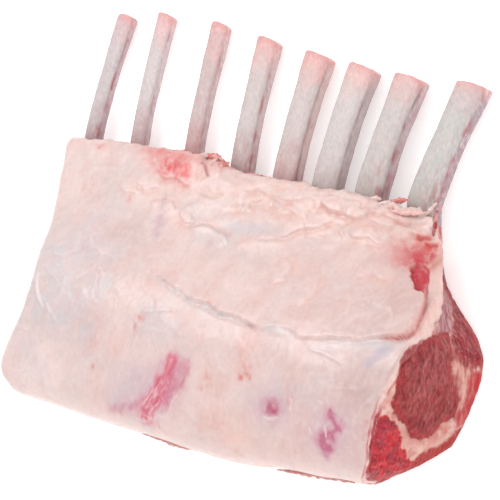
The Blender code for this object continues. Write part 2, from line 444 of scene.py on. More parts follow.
# The free edge of the upper layer of fat: along the middle, round the flap at the cut end and up to the
# red patch. The layer lies on its left.
UPPER_EDGE = [
    (-27, 68.5), (-18, 66), (-11.3, 63.7), (-4, 61.2), (2, 60.6), (6, 60.2), (11.3, 58.5), (19.5, 57.7),
    (27, 56.8), (31.5, 54.9), (36, 55), (41, 57), (49, 57.2), (55, 54.8), (65, 55.6), (74, 58), (82, 58.6),
    (93, 61.5), (100.5, 62.8), (103.6, 64), (104.9, 66), (104.8, 69), (103.2, 73.6), (100.9, 79.3),
    (98.4, 82.8), (92.9, 83.9), (90.5, 87), (86.3, 92),
]
UPPER_RISE = [
    (0, 0.2), (0.06, 1.1), (0.2, 1.5), (0.3, 1.3), (0.36, 0.7), (0.5, 0.6), (0.62, 0.8), (0.7, 1.5),
    (0.78, 2.3), (0.92, 2.2), (1, 0.5),
]
RED_PATCH = [
    (85.1, 92.6), (86.7, 94.7), (89.8, 95.4), (92.9, 93.4), (95.3, 89.2), (98.5, 83.3), (96.1, 82.9),
    (93.3, 83.5), (90.8, 86.5), (87.3, 89.1),
]

# Folds: a raised lobe lies on the left of each path. (path, rise, reach, how red the crease is)
FOLDS = [
    ([(33.5, 114), (35.5, 112), (39.8, 109.7), (44, 109.2), (47.9, 110.4)], 1.6, 6, 0.9),
    ([(46.5, 109.6), (51, 109.2), (54.9, 109), (57.9, 110.4), (58.6, 113)], 1.2, 5, 0.4),
    (
        [(19, 93), (23.5, 95), (25.5, 96.7), (29.9, 99.6), (38.5, 102.8), (42.9, 105.4), (47.9, 107.5)],
        0.7, 7, 0.22,
    ),
    ([(58.5, 109.6), (61, 108.5), (65.4, 107.3), (69.8, 107.1), (72.5, 108.2)], 1.2, 4, 0.45),
    ([(77, 108.2), (80, 106.6), (83.4, 106), (87.6, 106.6)], 1.7, 3, 1.0),
    ([(84.6, 104.6), (87.8, 103.4), (91.6, 104.8)], 1.4, 3, 1.0),
    ([(91, 95.8), (92.8, 95.3), (96.2, 96.4)], 0.7, 3, 0.7),
    ([(57, 114.4), (61, 112.4), (67, 112), (74, 110.6), (79, 111.6)], 1.2, 4, 0.5),
    ([(63, 118), (67, 115.6), (73, 114.6), (80, 114.8)], 1.2, 3, 0.7),
    ([(70, 104.6), (75, 103.2), (80, 103.8), (84, 102.4)], 0.7, 4, 0.35),
    ([(52, 102.6), (57, 100.4), (63, 101.4), (68, 99.4), (74, 99.6)], 0.6, 6, 0.15),
    ([(9, 107.2), (16, 105.4), (24, 106.4), (33, 104.6)], 0.5, 8, 0.25),
    ([(25.5, 94.6), (17.3, 92.9), (12.5, 92), (7.6, 91.6), (3.8, 89.4), (3, 86)], 0.7, 12, 0.06),
    ([(29, 74.6), (34.3, 76.9), (36.4, 82), (33, 85.6), (27, 87)], 0.5, 6, 0.1),
    ([(-1, 88), (-4, 91.6), (-11, 94), (-18, 94.6), (-23.6, 92)], 1.0, 6, 0.0),
    ([(-34, 99), (-38, 101.6), (-44, 102), (-50, 100)], 0.6, 5, 0.1),
    ([(-33.5, 99.5), (-31.7, 97.2), (-28, 94.4), (-23.5, 93.5), (-21.8, 96)], 0.8, 4, 0.0),
    ([(-70, 105), (-64, 102), (-57, 103)], 0.45, 6, 0.15),
    ([(-62, 108), (-55, 105), (-47, 107.5)], 0.5, 5, 0.2),
    ([(-53, 113.6), (-47, 111.4), (-40.5, 112.6), (-36, 110), (-31, 111.4)], 0.8, 5, 0.8),
    ([(-26, 115.6), (-28.6, 118), (-31.8, 120.8), (-33, 124)], 1.1, 4, 0.2),
    ([(-20.5, 118), (-23.5, 120.6), (-26.5, 123), (-28, 126)], 0.6, 3, 0.3),
    ([(-45, 113.8), (-44, 117), (-45.5, 120), (-44, 124)], 0.8, 3, 0.8),
    ([(66, 84), (73, 87), (80, 86), (85, 88.5)], 0.35, 8, 0.12),
    ([(47, 66), (52, 74), (50, 84)], 0.3, 12, 0.05),
]
WHITE_STREAKS = [
    [(-88.2, 59), (-87.4, 55.5), (-84, 49.7), (-79.6, 45.1)],
    [(-78, 47), (-76.8, 45.5), (-72.5, 42.7), (-68.2, 39.3)],
    [(-91, 35.6), (-84.3, 34.6)],
    [(-25.5, 52.4), (-17.5, 54.5), (-11, 55.6)],
    [(62, 51.3), (69.9, 50.8), (79, 48.3)],
    [(46.3, 104.5), (49, 103), (51.5, 100.3)],
    [(66, 58.9), (77, 57.6), (88, 59.6), (99, 61.6)],
]
# Broad changes of tone: (x, y), radii, share, colour
LOCAL_TONES = [
    ((-54, 80), (15, 14), 0.7, (214, 182, 177)),
    ((94, 44), (12, 17), 0.6, (198, 162, 156)),
    ((91, 77), (13, 11), 0.5, (214, 164, 156)),
    ((-75, 106), (13, 9), 0.6, (218, 196, 191)),
    ((35, 12), (15, 8), 0.5, (250, 200, 190)),
    ((62, 38), (16, 12), 0.4, (212, 182, 178)),
    ((-1, 109), (26, 5), 0.7, (220, 178, 166)),
    ((-81, 48), (8, 16), 0.6, (204, 195, 193)),
    ((-75, 18), (15, 12), 0.7, (254, 234, 232)),
    ((104, 76), (3.6, 13), 0.5, (232, 172, 162)),
]
# Where the fat is bluish: (x, y), radii, share
LILAC_PLACES = [
    ((-77, 56), (22, 26), 0.9), ((-73, 100), (7, 18), 0.5), ((-50, 62), (10, 26), 0.35),
    ((-8, 92.5), (10, 6), 0.8), ((13, 96.5), (13, 3.6), 0.9), ((95, 56), (12, 5), 0.5),
    ((62, 33), (18, 8), 0.4), ((-16, 48), (15, 7), 0.5), ((-30, 19), (12, 8), 0.55),
    ((34, 74), (14, 9), 0.3),
]
# (x, y), radii, strength
BLOOD_SPOTS = [
    (-60.6, 98.8, 1.1, 2.6, 0.5), (-89.8, 121, 2.0, 1.5, 0.8), (5.8, 61.4, 1.1, 0.9, 0.9),
    (-46.2, 25.2, 0.9, 0.9, 0.7), (-47.8, 35, 1.8, 3.6, 0.35), (33.1, 4.1, 1.6, 0.9, 0.6),
    (58, 29.6, 1.2, 2.2, 0.8), (15.4, 31.2, 2.0, 2.4, 0.45), (13.5, 26, 1.8, 2.2, 0.4),
    (31.6, 34.2, 1.5, 1.2, 0.95), (36.7, 34.5, 1.2, 1.2, 0.75), (33.9, 37.2, 3.6, 2.8, 0.5),
    (-26.8, 50, 2.0, 1.6, 0.65), (-27.6, 45.2, 1.1, 3.4, 0.5), (-28.2, 39, 0.8, 3, 0.25),
    (-10.8, 55.4, 2.0, 1.2, 0.5), (63, 9, 0.8, 1.8, 0.8), (66.2, 115.8, 1.0, 0.8, 1.0),
    (69, 114.4, 2.4, 0.8, 0.8), (19.7, 109.5, 2.2, 1.4, 0.55), (31, 45, 7, 6, 0.22),
    (96.7, 24, 1.6, 4, 0.5), (-9, 7.2, 0.9, 0.8, 0.5), (20, 17, 6, 9, 0.14), (-84, 103, 5, 6, 0.2),
]


def sheets(where, size, seed):
    """Membranes that overlap in steps: the step a point is on, and how far up from the last edge it is."""
    drift = np.stack([noise(where, 17, seed + 1), 0.7 * noise(where, 13, seed + 2), 0 * where[:, 0]], -1)
    level = 1.6 * noise(where + 6 * drift, size, seed) + 0.3 * noise(where, np.asarray(size) / 3, seed + 3)
    step = np.floor(level)
    part = level - step
    return step + ease(0, 0.2, part), part


def hairlines(where, size, seed):
    """Fine winding ridges, in places: 1 on a ridge and 0 off it."""
    drift = [noise(where, size * 0.6, seed + 1), noise(where, size * 0.6, seed + 2), 0 * where[:, 0]]
    field = noise(where + 0.3 * size * np.stack(drift, -1), size, seed)
    return bell(field * size, 0.8) * ease(0.0, 0.5, noise(where, 2.3 * size, seed + 3))


HAIRLINES = ((11, 141), (17, 151), (25, 161))


def looseness(where, places):
    """1 where the fat is loose and folded, near the ribs at the cut end, and 0 where it is taut."""
    return ease(92, 108, places[:, 1] + 4 * noise(where, 20, 6)) * ease(-62, 24, places[:, 0])


def torn(where):
    """Small sideways offsets that make drawn edges look torn."""
    return 0.9 * offsets(where, 4, (21, 23)) + 0.5 * offsets(where, 1.7, (22, 24))


def fat_relief(where, places):
    """How far the fat stands out from its plain surface, in mm."""
    loose = looseness(where, places)
    rise = 0.8 * noise(where, 46, 1) + 0.4 * noise(where, (24, 14, 20), 2)
    rise += (0.14 + 0.4 * loose) * noise(where, (15, 7, 11), 3)
    rise += (0.04 + 0.12 * loose) * noise(where, (6, 3.4, 5), 4)
    rise += (0.02 + 0.04 * loose) * noise(where, 2.2, 5)
    rise += 0.5 * loose * sheets(where, (22, 8, 16), 7)[0]
    rise += 0.16 * sheets(where, (40, 22, 30), 8)[0] * ease(10, 30, places[:, 1])
    for size, seed in HAIRLINES:
        rise += 0.07 * hairlines(where, size, seed)

    ragged = torn(where)
    apart, along = path_field(places + 0.7 * ragged, UPPER_EDGE)
    upper = value_at(UPPER_RISE, along)
    rise += upper * ease(-0.5, 0.9, apart) * np.exp(-np.maximum(apart, 0) / 20)
    rise -= 0.35 * upper * bell(apart + 0.9, 1.1)

    for path, height, reach, _ in FOLDS:
        apart, along = path_field(places + 0.6 * ragged, path)
        ends = faded(along, 0.16)
        rise += height * ends * ease(-0.35, 0.7, apart) * np.exp(-np.maximum(apart, 0) / reach)
        rise -= 0.3 * height * ends * bell(apart + 0.6, 0.7)

    patch = depth_in(places + 0.5 * ragged, RED_PATCH)
    rise -= 1.4 * ease(-0.4, 0.9, patch)
    rise -= 0.5 * blob(places, (-9, 93), (9, 5.5))
    rise += 0.9 * blob(places, (43, 56), (6, 2.2)) + 1.4 * blob(places, (44, 113.6), (9, 3.2))
    for path in WHITE_STREAKS:
        rise += 0.3 * bell(path_field(places + 0.3 * ragged, path)[0], 0.6)
    return rise


def fat_colours(where, places):
    """The fat's colour at each point."""
    x, y = places.T
    loose = looseness(where, places)
    broad = noise(where, 40, 31)
    patchy = rough(where, 13, 3, 32)
    turned = where @ np.array([[0.97, 0.24, 0], [-0.24, 0.97, 0], [0, 0, 1]])
    ragged = torn(where)
    paint = Paint(len(where), PEACH, places, ragged)
    paint(0.5 + 0.9 * noise(where, 30, 33), CREAM)
    paint(0.3 + 0.9 * rough(turned, (10, 17, 12), 3, 34), PINK_FAT)
    paint(0.6 * ease(0, 0.6, rough(where, 21, 3, 35)), (226, 204, 200))
    paint.spot(0.55, (62, 72), (46, 40), ROSY_FAT)
    paint.spot(0.75, (92, 34), (20, 26), (222, 190, 186))
    paint(0.6 * ease(98, 113, y + 5 * broad) * ease(-50, 20, x), BRIGHT_FAT_AND_HIGHLIGHT)
    paint(0.7 * ease(13, 2, y + 3 * broad), BRIGHT_FAT_AND_HIGHLIGHT)
    paint.spot(0.5, (-88, 24), (16, 16), BRIGHT_FAT_AND_HIGHLIGHT)

    for centre, radii, share, tone in LOCAL_TONES:
        paint(share * blob(places + 3 * noise(where, 9, 40)[:, None], centre, radii), tone)

    lilac = sum(share * blob(places, centre, radii) for centre, radii, share in LILAC_PLACES)
    paint(lilac * (1 + 0.5 * patchy) + 0.3 * patchy, LILAC)
    paint.line(0.35, [(-67, 72), (-63, 60), (-59, 50), (-51, 38)], 5, (202, 188, 194))
    paint.spot(0.7, (13, 97.5), (10, 2.2), (208, 196, 200))
    paint.spot(0.65, (-10, 90.5), (9, 5), (219, 209, 209))
    paint.line(0.55, [(-3, 92.4), (-11, 95), (-18, 95.6), (-24, 93)], 0.8, (184, 164, 164))
    glint = ease(0.1, 0.5, noise(where, 1.7, 43)) * blob(places, (-4, 105.4), (10, 3))
    glint += ease(0.15, 0.5, noise(where, 1.6, 44)) * blob(places, (-27, 96), (5, 5))
    paint(0.6 * glint, (252, 242, 240))
    paint(0.3 * ease(0.05, 0.6, rough(turned, (6, 9, 7), 2, 36)), CREAM)
    paint(0.3 * ease(0.1, 0.6, rough(turned, (5, 8, 6), 2, 39)), ROSY_FAT)
    for size, seed in HAIRLINES:
        paint(0.25 * hairlines(where, size, seed), (246, 232, 229))
        paint(0.2 * hairlines(where + 0.9, size, seed), (214, 178, 176))

    part = sheets(where, (22, 8, 16), 7)[1]
    foot = bell(np.minimum(part, 1 - part), 0.09)
    # Where the loose sheets overlap: painted peach shade at the foot of each step and a painted highlight
    # just above it.
    paint(0.6 * loose * foot, PEACH_AND_CREASE_SHADE)
    paint(0.5 * loose * bell(part - 0.26, 0.1), BRIGHT_FAT_AND_HIGHLIGHT)
    paint(0.45 * loose * ease(0.1, 0.6, noise(where, (7, 4, 5), 37)), PEACH_AND_CREASE_SHADE)
    paint(0.5 * loose * ease(0.2, 0.6, noise(where, (5, 3, 4), 38)), (226, 186, 182))

    seam_colours(paint, where, places, ragged)
    for path, _, _, red in FOLDS:
        apart, along = path_field(places + 0.6 * ragged, path)
        ends = faded(along, 0.2)
        uneven = 0.7 + 0.5 * noise(where, 3, 48)
        paint(0.8 * red * uneven * ends * bell(apart + 0.3, 0.7), ORANGE_RED)
        # Beside each fold: painted peach shade below the crease and a painted highlight on the lobe.
        paint(0.4 * ends * bell(apart + 1.4, 1.6), PEACH_AND_CREASE_SHADE)
        paint(0.35 * ends * bell(apart - 2.2, 2.2), BRIGHT_FAT_AND_HIGHLIGHT)
    for path in WHITE_STREAKS:
        apart, along = path_field(places + 0.3 * ragged, path)
        ends = faded(along, 0.3) * (0.6 + 0.8 * noise(where, 3, 50))
        paint(0.6 * ends * bell(apart, 0.55), (243, 233, 232))
        paint(0.3 * ends * bell(apart + 1.2, 0.7), (206, 188, 190))
    red_places(paint, where, places, ragged)
    magenta_patches(paint, where, places, ragged)
    for spot_x, spot_y, wide, high, strength in BLOOD_SPOTS:
        near = blob(places + 1.1 * ragged, (spot_x, spot_y), (wide, high))
        feathered = 0.65 + 0.8 * rough(where, 2.6, 2, 53)
        paint(strength * near * feathered, (222, 104, 94))
    # A painted purple-grey shadow line near the cut end.
    paint.line(0.6, [(91, 50.5), (93.5, 53.5), (97.6, 57)], 2.4, (184, 172, 190), 1.0)
    return paint


def seam_colours(paint, where, places, ragged):
    """Along the upper layer's free edge: torn white membrane with painted shadows, then a pale lip, then the
    flap's red crease.
    """
    apart, along = path_field(places + 0.9 * ragged, UPPER_EDGE)
    membrane = ease(-0.02, 0.05, along) * ease(0.33, 0.24, along)
    fibres = ease(-0.05, 0.45, noise(where, (2.4, 1.1, 2), 45))
    broken = ease(-0.35, 0.25, noise(where, (6, 4, 5), 46))
    paint(0.45 * membrane * broken * bell(apart + 1.6, 1.9), (228, 216, 217))
    paint(0.75 * membrane * fibres * bell(apart + 1.2, 1.2), WHITE_SKIN)
    # Painted bluish shadows along the torn membrane at the layer's edge.
    for place in ((-26.1, 68.1), (-21.4, 67.3), (9, 59.9), (13.6, 58.3), (-6, 61.5)):
        paint(0.6 * blob(places + 0.7 * ragged, place, (1.8, 0.7)), BLUE_PAINTED_SHADOW)
    # A painted brown shadow in a notch of the edge.
    paint.spot(0.8, (29.6, 55.7), (2.8, 0.9), (184, 144, 136), 0.4)
    paint.spot(0.8, (43, 55.8), (6.5, 1.8), (216, 208, 209))
    paint.spot(0.5, (34, 51), (9, 3), (244, 208, 202))
    white = ease(0.5, 0.58, along) * ease(0.82, 0.72, along)
    paint(0.6 * white * bell(apart + 2.6, 2.0), (232, 222, 222))
    paint(0.25 * white * bell(apart + 5.4, 1.2), (206, 184, 184))
    apart, along = path_field(places + 0.25 * ragged, UPPER_EDGE)
    flap = ease(0.7, 0.74, along)
    uneven = 0.8 + 0.3 * noise(where, 3, 54)
    paint(0.35 * flap * bell(apart, 1.8), (238, 178, 168))
    paint(0.9 * flap * uneven * bell(apart + 0.2, 0.55), (212, 96, 82))
    paint(0.8 * flap * uneven * bell(apart + 0.3, 0.35), (166, 52, 46))


def red_places(paint, where, places, ragged):
    """The bare red patch at the flap with the blush above it, and the bloody tatters by the second gap."""
    y = places[:, 1]
    uneven = 1 + 0.35 * noise(where, 3.2, 49)
    paint.spot(uneven, (86.6, 98.8), (8.5, 5.6), BLUSH)
    paint.spot(0.5 * uneven, (80, 97), (8, 5.5), (224, 136, 132))
    paint.spot(0.95 * uneven, (88, 96.2), (5.6, 4), (206, 54, 66))
    patch = depth_in(places + 0.5 * ragged, RED_PATCH)
    bottom = np.clip((97 - y) / 5, 0, 1)
    paint(ease(-0.3, 0.5, patch) * (0.55 + 0.45 * bottom), DEEP_RED)
    light = ease(0.3, 1.4, patch) * ease(0, 0.5, noise(where, 2.4, 47))
    paint(0.25 * light, (226, 92, 100))
    paint.spot(0.6, (98.5, 89), (2.6, 7), (244, 206, 196))
    for path in (
        [(80.6, 106.2), (83.6, 105.4), (86.2, 106.6), (88.4, 106)],
        [(85.8, 104.2), (88.6, 102.8), (92, 104.4)],
    ):
        apart, along = path_field(places + 0.8 * ragged, path)
        ends = faded(along, 0.15)
        paint(0.6 * ends * bell(apart, 1.6), (232, 128, 116))
        paint(0.95 * ends * uneven * bell(apart, 0.8), (214, 56, 50))
    paint.line(0.6, [(95.4, 100.6), (94.4, 97.6), (92.6, 95.2)], 1.2, (206, 166, 134), 0.6)

    paint.spot(0.6 * uneven, (-43, 117), (14, 5.5), (236, 132, 130), 1.5)
    paint.spot(0.65 * uneven, (-56, 123.4), (15, 2.6), (232, 124, 120), 1.0)
    paint.spot(0.5, (-44, 121), (9, 3), (240, 146, 142), 1.0)
    raw = ease(-0.55, 0.15, rough(where, 2.6, 2, 56))
    paint.spot(0.95 * raw, (-47.4, 117.4), (6, 3.4), (234, 84, 90), 2.2)
    paint.spot(0.95 * raw, (-38.6, 116), (4, 4.4), (238, 96, 98), 2.2)
    paint.spot(0.4 * raw, (-58, 119.6), (5, 3), (232, 130, 128), 2.2)
    paint.spot(0.6 * uneven, (-24, 123), (7, 3), (222, 118, 116), 1.0)
    paint.spot(0.7, (-33.6, 118.6), (2.6, 2.2), (246, 206, 200), 0.6)
    paint.line(0.6, [(-32.4, 121.6), (-29, 118.6), (-26.3, 116.2)], 0.6, (176, 84, 84), 0.3)
    paint.line(0.5, [(-43, 103), (-41.5, 97), (-39.6, 92), (-38.5, 87)], 1.8, (202, 162, 174), 1.0)
    paint.spot(0.5, (-40.6, 94), (3.4, 4), (214, 184, 190), 1.0)


def magenta_patches(paint, where, places, ragged):
    """The places where the muscle shows through the thin fat near the backbone edge."""
    paint.spot(0.7, (-12, 22), (13, 11), (212, 178, 192))
    paint.spot(0.5, (-26, 14), (12, 5), (212, 182, 194))
    turned = where @ np.array([[0.87, 0.5, 0], [-0.5, 0.87, 0], [0, 0, 1]])
    strands = noise(turned, (1.3, 6, 4), 51)
    cloudy = rough(where, 5, 2, 52)
    core_path = [(-4.6, 34.6), (-5.1, 28.5), (-8.4, 21.7), (-12, 16.1), (-15, 11.6), (-14.6, 10)]
    core = distance(places + 1.2 * ragged, core_path) + 1.2 * cloudy
    core = core - 2.2 * blob(places, (-9, 21), (7, 8)) - 2.4 * blob(places + ragged, (-17, 13.4), (6, 3.6))
    paint(0.55 * ease(7.5, 2.5, core), (222, 152, 172))
    paint(0.9 * ease(4.6, 1.6, core) * (0.8 + 0.3 * strands), MAGENTA)
    paint(0.75 * ease(3.2, 0.6, core) * ease(-0.4, 0.4, strands), (214, 70, 100))
    for path, width, strength in (
        ([(-14, 12.6), (-19.6, 13.6), (-27, 11.4), (-34.5, 9.7)], 2.2, 0.6),
        ([(4, 34), (2, 28), (-1, 22), (-5, 17)], 2.6, 0.75),
        ([(-1, 33), (-2.4, 26), (-6, 18)], 3.6, 0.7),
    ):
        paint.line(strength * (0.8 + 0.5 * strands), path, width, (212, 126, 150), 1.6)
    for path in (
        [(-18.5, 13.4), (-14.5, 17.6), (-10.7, 22.2)], [(-16.6, 12.4), (-12.6, 16.4), (-9.5, 21.5)],
        [(-15.2, 10.7), (-12, 12.6), (-9, 17)], [(-17.4, 10.4), (-13.4, 9), (-8.5, 10.2)],
        [(-22, 9.2), (-19, 7.8), (-15, 7.6)], [(-4, 14), (0, 19.6), (2.4, 23)],
    ):
        apart, along = path_field(places + 1.0 * ragged, path)
        ends = faded(along, 0.2)
        paint(0.6 * ends * bell(apart, 0.4), FIBRE_AND_GLINT)
    pale = ease(0.15, 0.5, noise(turned, (1.0, 7, 4), 55))
    paint(0.4 * pale * ease(6, 1.5, core) * ease(30, 20, places[:, 1]), FIBRE_AND_GLINT)
    paint.spot(0.6, (49, 25), (10, 7), (214, 182, 196))
    first = blob(places + 1.6 * ragged, (50.6, 24.6), (4.6, 3.8)) * (1 + 0.5 * cloudy)
    paint(0.6 * first, (210, 130, 160))
    paint.spot(1.0, (50.2, 24), (3.2, 2.6), (188, 60, 100), 1.4)
    paint.spot(0.65, (80, 20), (12, 10), (214, 180, 194))
    second_path = [(79.6, 26.4), (83, 22.6), (79.8, 18.8), (76.6, 16.6), (79.2, 13.4)]
    second = distance(places + 1.8 * ragged, second_path) + 1.3 * cloudy
    paint(0.6 * ease(5.6, 1.4, second), (212, 138, 164))
    paint(0.85 * ease(2.8, 0.4, second), (196, 94, 130))
    # Pale lines in the two patches: partly white fibres, partly painted glints.
    for path in (
        [(58.2, 30), (59.6, 27.8), (59.5, 25.4)], [(77, 21.8), (78.6, 20), (79, 18.2)],
        [(72, 31.4), (73.6, 30.3)], [(70, 19.6), (71, 18.2)], [(46.4, 20.6), (50, 19.8), (53.4, 20.6)],
    ):
        paint.line(0.7, path, 0.45, FIBRE_AND_GLINT, 1.0)


FAT_CELLS = (360, 208, 8)
FAT_HIDDEN_STEP = 4
LEFT_ROUNDING = 3.6
RIGHT_ROUNDING = 0.7
UNDER_LIP_Z = 34.6


def fat_cap():
    """The fat over the whole rack, with its thickness showing at both cut ends."""
    outside, inside = curve_through(FAT_OUTSIDE), curve_through(UNDER_FAT)
    places, faces = box_skin(FAT_CELLS, FAT_HIDDEN_STEP)
    a, b, c = places.T

    def section_at(b, c):
        return outside(b) * (1 - c)[:, None] + inside(b) * c[:, None]

    def plain(a, b, c):
        return in_rack(a, *section_at(b, c).T)

    base = plain(a, b, c)
    nudge, none = 2e-3, 0 * a
    ahead = plain(np.minimum(a + nudge, 1), b, none) - plain(np.maximum(a - nudge, 0), b, none)
    around = plain(a, np.minimum(b + nudge, 1), none) - plain(a, np.maximum(b - nudge, 0), none)
    normal = np.cross(ahead, around)
    normal /= np.linalg.norm(normal, axis=1, keepdims=True)

    top = plain(a, b, none)
    xy = top[:, :2]
    rise = fat_relief(top, xy) * (1 - c) ** 2
    length = np.linalg.norm(plain(np.ones_like(a), b, none) - plain(none, b, none), axis=1)
    for to_end, radius in ((a * length, LEFT_ROUNDING), ((1 - a) * length, RIGHT_ROUNDING)):
        inward = np.clip(1 - to_end / radius, 0, 1)
        rise -= radius * (1 - np.sqrt(1 - inward**2)) * (1 - c) * 0.8
    along_x = top * [1, 0, 0]
    section = section_at(b, c)
    x = xy[:, 0]
    spans = ease(-25, -19, x) * ease(15, 8, x) + ease(38, 50, x) * ease(100, 92, x)
    above_lip = section[:, 1] - UNDER_LIP_Z - 1.5 * noise(along_x, 13, 70)
    under_lip = spans * (b < 0.3) * ease(1.0, -1.0, above_lip)
    rise -= 0.8 * under_lip * (1 - c)
    points = base + normal * rise[:, None]
    points[:, 0] += (a > 0.999) * (0.7 * noise(base, 5, 60) + 0.4 * noise(base, 2, 59))
    edge = ease(0.88, 0.985, b)
    ragged = 1.1 * noise(along_x, 9, 61) + 0.9 * noise(along_x, 3.4, 62) + 0.4 * noise(along_x, 1.6, 66)
    wild = 0.7 + 1.0 * blob(xy[:, :1], (-36,), (15,)) + 0.9 * blob(xy[:, :1], (72,), (14,))
    points[:, 1] += edge * ragged * wild
    points[:, 2] += edge * 0.5 * (noise(along_x, 5, 67) + noise(along_x, 2.4, 68)) * wild
    low = ease(0.07, 0.0, b)
    points[:, 2] += low * (1.4 * noise(along_x, 22, 63) + 0.5 * noise(along_x, 6, 64))

    paint = fat_colours(top, xy)
    paint(0.55 * under_lip * (c < 0.5), (214, 160, 154))
    fold = spans * (b < 0.3) * bell(under_lip - 0.5, 0.3)
    paint(fold * (0.35 + 0.5 * noise(along_x, 5, 71)), (172, 96, 94))
    cut = np.maximum(a == 1, a == 0)
    paint(cut * ease(0.02, 0.3, c), PALE_SEAM)
    paint(cut * 0.6 * ease(-0.1, 0.5, noise(base, (4, 3, 3), 69)), (236, 178, 166))
    muscle = (a == 1) * ease(-0.6, 0.6, depth_in(section + torn(base)[:, ::-1], EYE))
    paint(muscle * ease(0.02, 0.2, c), EYE_RED)
    bloody = noise(base, (3, 4, 4), 58)
    beside_chine = (a == 1) * ease(0.36, 0.3, b)
    paint(0.7 * beside_chine * ease(-0.3, 0.3, bloody), (206, 128, 136))
    thin_here = beside_chine * ease(0.02, 0.07, b) * ease(0.3, 0.5, c + 0.2 * bloody)
    paint(thin_here, (168, 30, 44))
    cut_line = (a > 0.9985) * bell(c, 0.12) * ease(0.4, 0.3, b) * (0.75 + 0.5 * bloody)
    paint(0.9 * cut_line, (204, 50, 76))
    lip = ease(0.95, 1.0, b)
    paint(0.6 * lip * ease(-0.1, 0.5, noise(top, 7, 65)), (214, 112, 104))
    return make_piece("fat_cap_skin", points, faces, paint.colours, FAT_TISSUE, ("fat_cap",))


# The lean meat under the fat

EYE = [
    (55.2, 49.5), (60, 49), (65.3, 42), (69.4, 33.5), (72.4, 25.5), (71.2, 21), (67, 20.6), (63.3, 20.2),
    (59.6, 20), (55.4, 18), (53.6, 14.4), (50.6, 12.4), (46.7, 10.2), (43.3, 7.6), (38, 7), (34.6, 12),
    (29, 14), (24.8, 18.6), (24.7, 23.5), (28.1, 30), (32.9, 40.5), (36.3, 42.8), (42.6, 44.4), (48.6, 46.4),
]
CHINE = [
    (29.6, 47.2), (31, 42.5), (29.4, 37.5), (25.4, 32.5), (20, 28), (16.6, 22.4), (13.8, 16.4), (7.5, 22),
    (3, 24), (0.5, 31), (2.6, 38), (9, 45.5), (18, 46.6), (25, 47.4),
]
STRIATED = [
    (77, 31), (84, 27.5), (92.1, 20), (97, 14), (88, 9), (84.1, 11.8), (77.9, 18.5), (73.2, 18.8), (71.4, 27),
    (70.9, 31),
]
OUTER_MUSCLE = [
    (98, 14), (88, 8), (82.1, 12.6), (76, 18), (71.8, 20.3), (64.7, 19.5), (61.8, 15.5), (60.5, 9.8), (62, 3),
    (64.4, 0), (74, -1), (88, -1), (104, 3),
]
OUTER_RED = [
    (57.2, 7.6), (59.6, 3), (57.5, -1), (51, -1), (44, -1), (37, 0.6), (34.6, 4.6), (36.8, 7), (42.5, 6.2),
    (47, 6.4), (51.7, 6.8), (54.6, 8.6),
]
RIM_RED = [
    (37, -1), (33, 3), (28, 5.6), (24, 9.4), (20.9, 15.4), (16.4, 17.2), (12.4, 20.6), (8, 22), (8, 18),
    (20, 4), (30, -1),
]
PALE_STREAKS = [[(61, 19), (59, 15.6), (55, 14.6), (51.6, 14)], [(58, 13), (53, 9.6), (48, 8.8), (43, 5.6)]]


def meat_grain(section, along, across, seed):
    """Noise drawn out along the direction in which the cut fibres lie."""
    turned = section @ np.array([[0.925, -0.38], [0.38, 0.925]])
    return noise(np.column_stack([turned[:, 0], turned[:, 1], 0 * turned[:, 0]]), (along, across, 1), seed)


